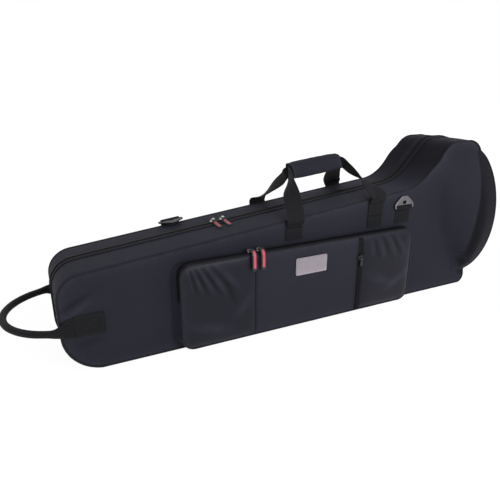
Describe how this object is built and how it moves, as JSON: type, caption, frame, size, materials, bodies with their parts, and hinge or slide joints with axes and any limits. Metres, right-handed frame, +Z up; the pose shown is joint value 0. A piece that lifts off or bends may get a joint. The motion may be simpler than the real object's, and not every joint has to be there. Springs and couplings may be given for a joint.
{
  "type": "trombone case",
  "caption": "Soft contoured trombone case with a flared bell end, zipped hinged front, front pocket, carrying handle, end loop and padded interior blocks.",
  "frame": {"origin": "middle of the overall footprint, on the surface the case stands on", "axes": "+X towards the bell end, -Y towards the front panel with the pocket, +Z up"},
  "size_m": [1.0128, 0.2856, 0.3433],
  "materials": {
    "ballistic_nylon": "woven ballistic nylon",
    "satin_nylon": "smooth satin-like nylon",
    "webbing": "woven nylon webbing",
    "piping": "corded piping",
    "zipper": "zipper tape and coil",
    "shell_board": "light moulded board",
    "plush": "plush lining",
    "foam": "covered foam",
    "nickel": "bright nickel plate",
    "pull_rubber": "moulded rubber",
    "badge_metal": "bare satin plate"
  },
  "bodies": {
    "base": {"rear_shell": "shell_board", "rear_panel_cover": "ballistic_nylon", "rear_gusset_cover": "ballistic_nylon", "rear_lining": "plush", "rear_piping": "piping", "rear_zipper_tape": "zipper", "bell_cradle": "foam", "neck_block": "foam", "crook_block": "foam", "mouthpiece_block": "foam", "accessory_box": "plush", "bell_end_pad": "foam", "rear_ring_tab": "webbing", "rear_strap_patch_left": "webbing", "rear_strap_patch_right": "webbing", "rear_anchor_patch": "webbing", "end_loop": "webbing", "hinge_strip": "ballistic_nylon"},
    "lid": {"front_shell": "shell_board", "front_panel_cover": "ballistic_nylon", "front_gusset_cover": "ballistic_nylon", "front_lining": "plush", "front_piping": "piping", "front_zipper_tape": "zipper", "pocket_gusset": "ballistic_nylon", "pocket_left_panel": "satin_nylon", "pocket_centre_panel": "ballistic_nylon", "pocket_right_panel": "satin_nylon", "pocket_piping": "piping", "pocket_zipper": "zipper", "side_zipper": "zipper", "badge": "badge_metal", "front_strap_patch_left": "webbing", "front_strap_patch_right": "webbing", "front_ring_tab": "webbing", "front_anchor_patch": "webbing", "slide_block_left": "foam", "slide_block_middle": "foam", "slide_block_right": "foam", "slide_strap_left": "webbing", "slide_strap_right": "webbing"},
    "front_handle": {"front_handle_strap": "webbing", "handle_wrap": "webbing", "wrap_flap": "webbing"},
    "rear_handle": {"rear_handle_strap": "webbing"},
    "main_slider_left": {"main_slider_left": "nickel"},
    "main_pull_left": {"main_pull_left": "pull_rubber"},
    "main_slider_right": {"main_slider_right": "nickel"},
    "main_pull_right": {"main_pull_right": "pull_rubber"},
    "pocket_slider_left": {"pocket_slider_left": "nickel"},
    "pocket_pull_left": {"pocket_pull_left": "pull_rubber"},
    "pocket_slider_right": {"pocket_slider_right": "nickel"},
    "pocket_pull_right": {"pocket_pull_right": "pull_rubber"},
    "side_slider": {"side_slider": "nickel"},
    "side_pull": {"side_pull": "nickel"},
    "front_ring": {"front_strap_ring": "nickel"},
    "rear_ring": {"rear_strap_ring": "nickel"},
    "accessory_lid": {"accessory_lid": "plush"}
  },
  "joints": [
    {"name": "lid_hinge", "type": "hinge", "parent": "base", "child": "lid", "pos_m": [0, 0.014, 0], "axis": [1, 0, 0], "range_deg": [0, 175], "deforming": ["hinge_strip", "end_loop", "wrap_flap"]},
    {"name": "front_handle_hinge", "type": "hinge", "parent": "lid", "child": "front_handle", "pos_m": [0.11585, -0.0744, 0.20378], "axis": [1, 0, 0], "range_deg": [0, 120], "deforming": ["wrap_flap"]},
    {"name": "rear_handle_hinge", "type": "hinge", "parent": "base", "child": "rear_handle", "pos_m": [0.11585, 0.0744, 0.20378], "axis": [-1, 0, 0], "range_deg": [0, 120], "deforming": ["wrap_flap"]},
    {"name": "main_slider_left_slide", "type": "slide", "parent": "base", "child": "main_slider_left", "axis": [0.9945, 0, 0.1044], "range_m": [-0.25, 0]},
    {"name": "main_pull_left_hinge", "type": "hinge", "parent": "main_slider_left", "child": "main_pull_left", "pos_m": [-0.11148, 0.014, 0.21299], "axis": [-0.9945, 0, -0.1044], "range_deg": [0, 160]},
    {"name": "main_slider_right_slide", "type": "slide", "parent": "base", "child": "main_slider_right", "axis": [0.9945, 0, 0.1044], "range_m": [0, 0.37]},
    {"name": "main_pull_right_hinge", "type": "hinge", "parent": "main_slider_right", "child": "main_pull_right", "pos_m": [-0.09148, 0.014, 0.21509], "axis": [-0.9945, 0, -0.1044], "range_deg": [0, 160]},
    {"name": "pocket_slider_left_slide", "type": "slide", "parent": "lid", "child": "pocket_slider_left", "axis": [1, 0, 0], "range_m": [-0.105, 0]},
    {"name": "pocket_pull_left_hinge", "type": "hinge", "parent": "pocket_slider_left", "child": "pocket_pull_left", "pos_m": [-0.08165, -0.0885, 0.1794], "axis": [-1, 0, 0], "range_deg": [0, 120]},
    {"name": "pocket_slider_right_slide", "type": "slide", "parent": "lid", "child": "pocket_slider_right", "axis": [1, 0, 0], "range_m": [0, 0.33]},
    {"name": "pocket_pull_right_hinge", "type": "hinge", "parent": "pocket_slider_right", "child": "pocket_pull_right", "pos_m": [-0.06365, -0.0885, 0.1794], "axis": [-1, 0, 0], "range_deg": [0, 120]},
    {"name": "side_slider_slide", "type": "slide", "parent": "lid", "child": "side_slider", "axis": [0, 0, 1], "range_m": [-0.095, 0.026]},
    {"name": "side_pull_hinge", "type": "hinge", "parent": "side_slider", "child": "side_pull", "pos_m": [0.16035, -0.1054, 0.127], "axis": [-1, 0, 0], "range_deg": [0, 150]},
    {"name": "front_ring_hinge", "type": "hinge", "parent": "lid", "child": "front_ring", "pos_m": [0.28535, -0.0776, 0.21151], "axis": [1, 0, 0], "range_deg": [0, 182]},
    {"name": "rear_ring_hinge", "type": "hinge", "parent": "base", "child": "rear_ring", "pos_m": [-0.17936, 0.0752, 0.20475], "axis": [-0.9945, 0, -0.1044], "range_deg": [0, 150]},
    {"name": "accessory_lid_hinge", "type": "hinge", "parent": "base", "child": "accessory_lid", "pos_m": [0.14335, 0.0297, 0.15], "axis": [-1, 0, 0], "range_deg": [0, 100]}
  ]
}
